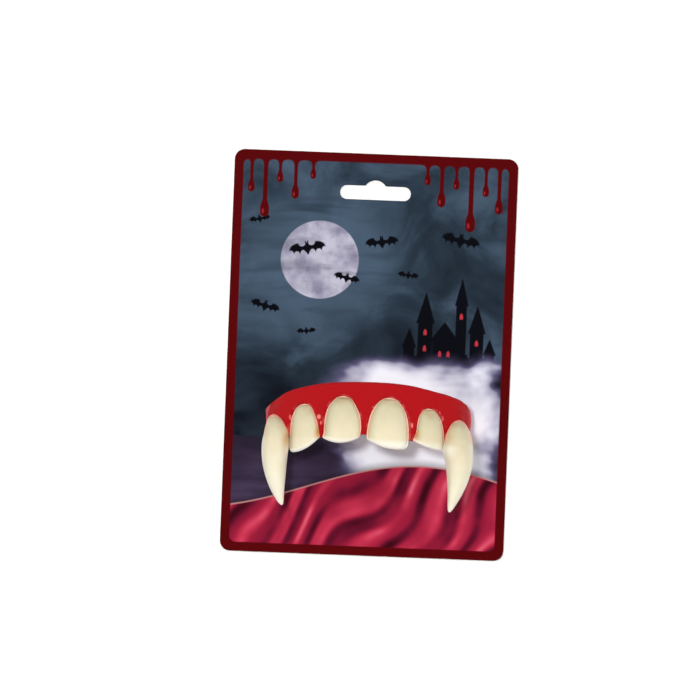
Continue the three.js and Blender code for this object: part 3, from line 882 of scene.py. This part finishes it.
def drawSky(add, place):
    look = skyLook
    clouds = add("TexNoise", {
        "Vector": place["flat"], "Scale": 1 / look["cloudMm"], "Detail": 6.0, "Roughness": 0.55,
        "Distortion": 0.7,
    })
    fall = add("MapRange", {
        "Value": place["y"], "From Min": -look["shiftSpan"], "From Max": look["shiftSpan"],
        "To Min": look["shift"][0], "To Max": look["shift"][1],
    })
    tone = add("Math ADD", [clouds, fall])
    sky = add("ValToRGB", {"Fac": tone}, stops=look["tones"])
    away = add("VectorMath DISTANCE", [place["flat"], (*look["moonPlace"], 0)])
    halo = add("MapRange", {
        "Value": away, "From Min": look["moonRadius"], "From Max": look["moonRadius"] + look["haloMm"],
        "To Min": look["haloStrength"], "To Max": 0.0,
    }, interpolation_type="SMOOTHERSTEP")
    glow = add("Mix", {0: halo, 6: sky, 7: look["halo"]}, data_type="RGBA")
    seas = add("TexNoise", {
        "Vector": place["flat"], "Scale": 1 / look["seaMm"], "Detail": 5.0, "Roughness": 0.55,
    })
    moon = add("ValToRGB", {"Fac": seas}, stops=look["moonTones"])
    fromLimb = add("Math SUBTRACT", [away, look["moonRadius"]])
    ground = paint(add, glow, fromLimb, moon)
    # thin clouds drift over the moon
    veil = drawStreaks(add, place, look["veilMm"], 4.0, 0.4)
    thickness = add("MapRange", {
        "Value": veil, "From Min": 0.48, "From Max": 0.75, "To Max": 0.8,
    }, interpolation_type="SMOOTHSTEP")
    return add("Mix", {0: thickness, 6: ground, 7: look["veil"]}, data_type="RGBA")


castleLook = {
    "stone": "#0b0c13",
    "slope": "#43364f",           # the near slope of the hill, in mauve moonlight
    "slopeStart": -14.0,
    "slopeEnd": -36.0,
    "tuftMm": (9.0, 2.6),         # of the grass on it
    "window": "#b8323f",
    "hillFoot": (-10.0, -22.0),   # where the hill starts, and where it reaches its full height
    "hillTop": (13.0, -3.5),
    "rockMm": 5.0,
    "rockHeight": 3.6,
    "towers": [                   # middle, width, top of the wall and height of the roof
        (9.3, 2.6, 2.4, 4.4), (13.0, 3.4, 8.2, 7.2), (17.6, 5.6, 3.8, 4.6),
        (21.4, 2.5, 12.6, 6.4), (25.2, 3.2, 6.2, 6.4), (28.3, 2.3, 1.2, 3.6),
    ],
    "hall": {"from": 8.5, "to": 29.0, "top": 0.2, "toothMm": 1.6, "toothHeight": 0.7},
    "windows": [(13.0, 5.6), (13.0, 1.8), (16.6, 0.6), (18.6, 0.6), (21.4, 9.6), (25.2, 3.4)],
    "windowSize": (0.4, 0.95),
    "eaves": 1.25,                # width of a roof, in widths of its tower
    "eavesDrop": 0.3,
    "sillDrop": 0.4,
}


def drawBlock(add, place, middle, width, top):
    # the distance to an upright block, and those beside its middle and above its top
    offset = add("Math SUBTRACT", [place["x"], middle])
    beside = add("Math ABSOLUTE", [offset])
    fromSide = add("Math SUBTRACT", [beside, width / 2])
    aboveTop = add("Math SUBTRACT", [place["y"], top])
    return add("Math MAXIMUM", [fromSide, aboveTop]), beside, aboveTop


def drawTower(add, place, middle, width, top, roofHeight):
    # a square tower with a steep roof that overhangs it, as the distance to its outline
    wall, beside, aboveTop = drawBlock(add, place, middle, width, top)
    eaves = castleLook["eaves"] * width / 2
    sloping = add("Math MULTIPLY_ADD", [aboveTop, eaves / roofHeight, beside])
    fromRoof = add("Math SUBTRACT", [sloping, eaves])
    belowEaves = add("Math SUBTRACT", [-castleLook["eavesDrop"], aboveTop])
    roof = add("Math MAXIMUM", [fromRoof, belowEaves])
    return add("Math MINIMUM", [wall, roof])


def drawCastle(add, place, ground):
    look = castleLook
    (footX, footY), (topX, topY) = look["hillFoot"], look["hillTop"]
    rise = add("MapRange", {
        "Value": place["x"], "From Min": footX, "From Max": topX, "To Min": footY, "To Max": topY,
    }, interpolation_type="SMOOTHSTEP")
    rocks = add("TexNoise", {
        "W": place["x"], "Scale": 1 / look["rockMm"], "Detail": 5.0, "Roughness": 0.6,
    }, noise_dimensions="1D")
    hill = add("Math MULTIPLY_ADD", [rocks, look["rockHeight"], rise])
    distance = add("Math SUBTRACT", [place["y"], hill])
    for tower in look["towers"]:
        distance = add("Math MINIMUM", [distance, drawTower(add, place, *tower)])
    # the hall between the towers, with battlements
    hall = look["hall"]
    wave = drawWave(add, place["x"], hall["toothMm"])
    tooth = add("Math GREATER_THAN", [wave, 0.0])
    top = add("Math MULTIPLY_ADD", [tooth, hall["toothHeight"], hall["top"]])
    walls = drawBlock(add, place, (hall["from"] + hall["to"]) / 2, hall["to"] - hall["from"], top)[0]
    distance = add("Math MINIMUM", [distance, walls])
    tufts = drawStreaks(add, place, look["tuftMm"], 5.0)
    near = add("MapRange", {
        "Value": place["y"], "From Min": look["slopeStart"], "From Max": look["slopeEnd"], "To Max": 2.0,
    })
    lit = add("Math MULTIPLY", [tufts, near], use_clamp=True)
    hillside = add("Mix", {0: lit, 6: look["stone"], 7: look["slope"]}, data_type="RGBA")
    ground = paint(add, ground, distance, hillside)
    for centre in look["windows"]:
        fromArch = drawOval(add, place["flat"], centre, look["windowSize"])
        belowSill = add("Math SUBTRACT", [centre[1] - look["sillDrop"], place["y"]])
        fromPane = add("Math MAXIMUM", [fromArch, belowSill])
        ground = paint(add, ground, fromPane, look["window"], soft=0.15)
    return ground


mistLook = {
    "tones": [(0.0, "#3a3554"), (0.35, "#6a6488"), (0.75, "#cfcfdf"), (1.0, "#f2f3fb")],
    "wispMm": (19.0, 12.0),
    "centre": (10.5, -17.0),
    "reach": (22.0, 16.5),
    "raggedness": 1.6,
}


def drawMist(add, place, ground):
    # pale mist at the foot of the hill, thickest in the middle and broken into wisps round it
    look = mistLook
    outside = drawOval(add, place["flat"], look["centre"], look["reach"])
    wisps = drawStreaks(add, place, look["wispMm"], 3.0, 0.3)
    ragged = add("Math MULTIPLY_ADD", [wisps, -look["raggedness"], outside])
    amount = add("MapRange", {
        "Value": ragged, "From Min": -1.25, "From Max": -0.5, "To Min": 1.0, "To Max": 0.0,
    }, interpolation_type="SMOOTHSTEP")
    tone = add("ValToRGB", {"Fac": amount}, stops=look["tones"])
    cover = add("MapRange", {"Value": amount, "From Max": 0.5})
    return add("Mix", {0: cover, 6: ground, 7: tone}, data_type="RGBA")


batLook = {
    "ink": "#0a0b11",
    "span": 9.0,  # farther than any part of a bat, in half spans
    "bats": [  # place, half of the span in mm and lean in degrees
        ((-15.5, 24.5), 4.2, 10), ((-6.0, 17.8), 3.0, -12), ((2.0, 26.5), 3.8, 8), ((8.5, 19.0), 2.4, -6),
        ((20.5, 27.5), 4.4, -10), ((-25.0, 10.5), 3.4, -14), ((-27.0, 31.0), 2.4, 12), ((-15.0, 5.0), 2.2, 6),
    ],
    "parts": [  # ovals of half a bat: centre, radii, and whether it is added or cut away
        ((0.5, 0.02), (0.52, 0.34), "wing"),
        ((0.27, -0.3), (0.16, 0.25), "bite"),
        ((0.62, -0.36), (0.19, 0.28), "bite"),
        ((0.95, -0.24), (0.16, 0.24), "bite"),
        ((0.27, 0.36), (0.2, 0.2), "bite"),
        ((0.0, -0.02), (0.1, 0.32), "body"),
        ((0.0, 0.24), (0.1, 0.11), "body"),
        ((0.065, 0.36), (0.035, 0.1), "body"),
    ],
}


def drawBats(add, place, ground):
    # flying bats, each the same on both sides, of ovals in shares of its half span
    for middle, halfSpan, lean in batLook["bats"]:
        upright = add("Mapping", {
            "Vector": place["flat"], "Location": (*middle, 0), "Rotation": (0, 0, math.radians(lean)),
            "Scale": (halfSpan, halfSpan, 1),
        }, vector_type="TEXTURE")
        apart = add("SeparateXYZ", [upright])
        beside = add("Math ABSOLUTE", [apart.outputs[0]])
        half = add("CombineXYZ", [beside, apart.outputs[1]])
        outline = batLook["span"]
        for centre, radii, use in batLook["parts"]:
            oval = drawOval(add, half, centre, radii)
            if use == "bite":
                beyond = add("Math MULTIPLY", [oval, -1.0])
                outline = add("Math MAXIMUM", [outline, beyond])
            else:
                outline = add("Math MINIMUM", [outline, oval])
        ground = paint(add, ground, outline, batLook["ink"])
    return ground


satinLook = {
    "deep": "#3b0713",
    "dark": "#64102a",
    "middle": "#991c38",
    "light": "#c4334f",
    "gleam": "#d65c72",
    "piping": "#b77e7c",
    "pipingMm": 0.34,
    "shadow": "#1a0d14",
    "foldMm": 7.4,
    "creaseMm": 2.9,
    "creaseShare": 0.25,
    "patchMm": 12.0,        # size of the places where the folds are deep or shallow
    "bendMm": 34.0,
    "slant": 66,            # of the folds, in degrees
    "edgeHeight": -31.5,
    "edgeSwing": 5.6,
    "edgeMm": 105.0,        # length of the wave of the upper edge
    "edgeStart": 0.8,
}


def drawSatin(add, place, ground):
    # crimson satin along the foot, in slanting folds that widen and close, with a piped upper edge
    look = satinLook
    wave = drawWave(add, place["x"], look["edgeMm"], look["edgeStart"])
    edge = add("Math MULTIPLY_ADD", [wave, look["edgeSwing"], look["edgeHeight"]])
    above = add("Math SUBTRACT", [place["y"], edge])
    bend = add("TexNoise", {"Vector": place["flat"], "Scale": 1 / look["bendMm"], "Detail": 1.0})
    turned = add("VectorRotate", {
        "Vector": place["flat"], "Angle": -math.radians(look["slant"]),
    }, rotation_type="Z_AXIS")
    apart = add("SeparateXYZ", [turned])
    across = add("Math MULTIPLY_ADD", [bend, look["bendMm"], apart.outputs[1]])
    folds, creases = drawWave(add, across, look["foldMm"]), drawWave(add, across, look["creaseMm"])
    both = add("Math MULTIPLY_ADD", [creases, look["creaseShare"], folds])
    strength = add("TexNoise", {"Vector": place["flat"], "Scale": 1 / look["patchMm"], "Detail": 2.0})
    depth = add("MapRange", {"Value": strength, "From Min": 0.35, "From Max": 0.65, "To Min": 0.15})
    relief = add("Math MULTIPLY", [both, depth])
    tone = add("MapRange", {"Value": relief, "From Min": -1.25, "From Max": 1.25})
    cloth = add("ValToRGB", {"Fac": tone}, stops=[
        (0.04, look["deep"]), (0.3, look["dark"]), (0.52, look["middle"]),
        (0.76, look["light"]), (0.96, look["gleam"]),
    ])
    shadow = add("MapRange", {
        "Value": above, "From Min": 0.0, "From Max": 2.2, "To Min": 0.5, "To Max": 0.0,
    }, interpolation_type="SMOOTHSTEP")
    shaded = add("Mix", {0: shadow, 6: ground, 7: look["shadow"]}, data_type="RGBA")
    covered = paint(add, shaded, above, cloth)
    fromEdge = add("Math ABSOLUTE", [above])
    fromPiping = add("Math SUBTRACT", [fromEdge, look["pipingMm"] / 2])
    return paint(add, covered, fromPiping, look["piping"])


dripLook = {
    "start": 45.2,
    "fillet": 2.2,
    "runWidth": 0.5,        # of the run above a drop, and where it is reached, in radii of the drop
    "runStart": 3.2,
    "gleam": "#9a2a2c",
    "gleamPlace": (-0.38, 0.25),  # from the middle of the drop, and size, in radii of the drop
    "gleamSize": (0.22, 0.484),
    "drips": [  # place across, length and radius of the drop at the end, in mm
        (-29.3, 7.0, 0.75), (-26.0, 12.5, 1.05), (-22.6, 4.6, 0.7), (-18.9, 8.2, 0.85), (-14.8, 3.6, 0.65),
        (12.2, 4.0, 0.7), (15.6, 8.8, 0.95), (19.0, 4.8, 0.7), (22.6, 14.2, 1.15), (26.0, 6.2, 0.75),
        (29.2, 10.0, 0.9),
    ],
}


def drawRoundBox(add, place, inset, radius):
    # the distance to a rectangle with round corners that lies inside the card's outline
    low, high = boxOf("display_card")
    corner = ((high[0] - low[0]) / 2 - inset - radius, (high[1] - low[1]) / 2 - inset - radius, 1)
    size = add("VectorMath ABSOLUTE", [place["flat"]])
    past = add("VectorMath SUBTRACT", [size, corner])
    outside = add("VectorMath MAXIMUM", [past, (0, 0, 0)])
    beyond = add("VectorMath LENGTH", [outside])
    apart = add("SeparateXYZ", [past])
    nearer = add("Math MAXIMUM", [apart.outputs[0], apart.outputs[1]])
    within = add("Math MINIMUM", [nearer, 0.0])
    both = add("Math ADD", [beyond, within])
    return add("Math SUBTRACT", [both, radius])


def drawBorder(add, place, ground):
    # an oxblood border, with runs of the same ink down from its upper side, each ending in a drop
    look = cardLook
    fromCut = drawRoundBox(add, place, 0, look["cornerRadius"])
    fromPicture = drawRoundBox(add, place, look["borderWidth"], look["pictureRadius"])
    inside = add("Math MULTIPLY", [fromPicture, -1.0])
    outline = inside
    for across, length, radius in dripLook["drips"]:
        tip = dripLook["start"] - length
        along = add("Math MAXIMUM", [place["y"], tip])
        spine = add("CombineXYZ", [across, along])
        away = add("VectorMath DISTANCE", [place["flat"], spine])
        thickness = add("MapRange", {
            "Value": place["y"], "From Min": tip + radius, "From Max": tip + dripLook["runStart"] * radius,
            "To Min": radius, "To Max": dripLook["runWidth"] * radius,
        }, interpolation_type="SMOOTHSTEP")
        fromRun = add("Math SUBTRACT", [away, thickness])
        outline = add("Math SMOOTH_MIN", [outline, fromRun, dripLook["fillet"]])
    ground = paint(add, ground, outline, look["border"])
    for across, length, radius in dripLook["drips"]:
        drop = (across, dripLook["start"] - length)
        centre = [at + share * radius for at, share in zip(drop, dripLook["gleamPlace"])]
        radii = [share * radius for share in dripLook["gleamSize"]]
        ground = paint(add, ground, drawOval(add, place["flat"], centre, radii), dripLook["gleam"], soft=0.6)
    return ground, fromCut


def makeCardMaterial():
    # offset-printed folding boxboard under a satin varnish: flat inks, a pale core at the cuts, a dull back
    look = cardLook
    material, add = newMaterial("Printed boxboard, varnished")
    place = readPlace(add)
    ground = drawSky(add, place)
    ground = drawCastle(add, place, ground)
    ground = drawMist(add, place, ground)
    ground = drawBats(add, place, ground)
    ground = drawSatin(add, place, ground)
    inks, fromCut = drawBorder(add, place, ground)
    # the ink is rubbed off in places along the cut
    scuffs = add("TexNoise", {"Vector": place["flat"], "Scale": 1 / 1.2, "Detail": 3.0})
    rubbed = add("Math MULTIPLY_ADD", [scuffs, 0.5, fromCut])
    kept = add("Math SUBTRACT", [0.3, rubbed])
    front = paint(add, inks, kept, look["core"], soft=0.03)
    fibres = add("TexNoise", {
        "Vector": place["solid"], "Scale": 1 / look["fibreMm"], "Detail": 4.0, "Roughness": 0.7,
    })
    back = add("ValToRGB", {"Fac": fibres}, stops=[
        (0.3, look["back"]), (0.7, look["core"]),
    ])
    isFront = add("MapRange", {"Value": place["up"], "From Min": 0.4, "From Max": 0.6})
    isBack = add("MapRange", {"Value": place["up"], "From Min": -0.4, "From Max": -0.6})
    plain = add("Mix", {0: isBack, 6: look["core"], 7: back}, data_type="RGBA")
    colour = add("Mix", {0: isFront, 6: plain, 7: front}, data_type="RGBA")
    roughness = add("MapRange", {"Value": isFront, "To Min": 0.85, "To Max": look["varnishRoughness"]})
    bump = add("Bump", {"Height": fibres, "Strength": 0.1, "Distance": 0.03 * mm})
    shader = add("BsdfPrincipled", {
        "Base Color": colour,
        "Roughness": roughness,
        "IOR": 1.5,
        "Specular IOR Level": 0.3,
        "Normal": bump,
    })
    add("OutputMaterial", {"Surface": shader})
    return material


def makeFloorMaterial():
    # matt white studio paper
    material, add = newMaterial("White studio paper")
    shader = add("BsdfPrincipled", {"Base Color": "#fafafa", "Roughness": 0.9, "Specular IOR Level": 0.1})
    add("OutputMaterial", {"Surface": shader})
    return material


# build the pieces

toothMaterial = makeToothMaterial()
gumMaterial = makeGumMaterial()
for make, nodes in ((makeIncisor, incisors), (makeFang, fangs)):
    for node in nodes:
        placePiece(make(node), node, toothMaterial)
placePiece(makeGum(), "gum_plate", gumMaterial)
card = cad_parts["display_card"]
card.data.materials.clear()
card.data.materials.append(makeCardMaterial())
print("pieces built")

# floor, light and camera

studio = {
    "floorSize": 4.0,
    "floorDrop": 0.02 * mm,            # below the card's back, so that the two faces don't flicker
    "cameraAim": (-0.00454, 0.00097),  # the point of the card in the middle of the picture
    "cameraTurn": 2.25,                # degrees; the card lies turned clockwise in the picture
    "lens": 1200,                      # long, because the picture shows no perspective
    "frameWidth": 0.1651,              # what the picture spans at the card
    "sensor": 36,
    # degrees round from +X and up from the floor, distance and size in metres, watts, and whether it shows in
    # the gloss. The main light is polarised against the lens, so it leaves no reflection on the varnish
    "lights": [
        (140, 79, 1.0, 0.14, 5.2, False),
        (90, 42, 0.9, 0.5, 1.4, False),
        (0, 38, 0.9, 0.5, 2.35, False),
        (-90, 42, 0.9, 0.5, 1.75, False),
        (180, 38, 0.9, 0.5, 1.75, False),
        (125, 38, 0.9, 0.35, 0.4, True),
    ],
    "zenith": 0.05,                    # the room overhead is dark, and lighter round the sides
    "horizon": 0.12,
}


def makeStudio():
    floorMesh = bpy.data.meshes.new("StudioFloor")
    half = studio["floorSize"] / 2
    corners = [(-half, -half, 0), (half, -half, 0), (half, half, 0), (-half, half, 0)]
    floorMesh.from_pydata(corners, [], [(0, 1, 2, 3)])
    floorMesh.materials.append(makeFloorMaterial())
    floor = bpy.data.objects.new("StudioFloor", floorMesh)
    floor.location.z = -studio["floorDrop"]
    bpy.context.scene.collection.objects.link(floor)
    for number, (degreesRound, degreesUp, distance, size, watts, sheen) in enumerate(studio["lights"]):
        data = bpy.data.lights.new(f"Softbox{number}", "AREA")
        data.shape = "DISK"
        data.size = size
        data.energy = watts
        lamp = bpy.data.objects.new(data.name, data)
        turn, up = math.radians(degreesRound), math.radians(degreesUp)
        direction = (math.cos(turn) * math.cos(up), math.sin(turn) * math.cos(up), math.sin(up))
        lamp.location = [c * distance for c in direction]
        lamp.rotation_euler = (math.pi / 2 - up, 0, turn + math.pi / 2)
        lamp.visible_glossy = sheen
        bpy.context.scene.collection.objects.link(lamp)
    world = bpy.data.worlds.new("Studio")
    world.use_nodes = True
    world.node_tree.nodes.clear()
    add = partial(addNode, world.node_tree)
    place = add("TexCoord")
    apart = add("SeparateXYZ", [place.outputs["Generated"]])
    strength = add("MapRange", {
        "Value": apart.outputs[2], "From Min": 0.5, "From Max": 0.95,
        "To Min": studio["horizon"], "To Max": studio["zenith"],
    }, interpolation_type="SMOOTHSTEP")
    room = add("Background", {"Strength": strength})
    add("OutputWorld", {"Surface": room})
    bpy.context.scene.world = world
    bpy.context.scene.view_settings.view_transform = "Standard"


def makeCamera():
    data = bpy.data.cameras.new("Camera")
    data.lens = studio["lens"]
    data.sensor_width = studio["sensor"]
    distance = studio["frameWidth"] * studio["lens"] / studio["sensor"]
    data.clip_end = 20
    camera = bpy.data.objects.new("Camera", data)
    camera.location = (*studio["cameraAim"], distance + boxOf("display_card")[1][2] * mm)
    camera.rotation_euler = (0, 0, math.radians(studio["cameraTurn"]))
    bpy.context.scene.collection.objects.link(camera)
    bpy.context.scene.camera = camera


makeStudio()
makeCamera()
print("studio ready")
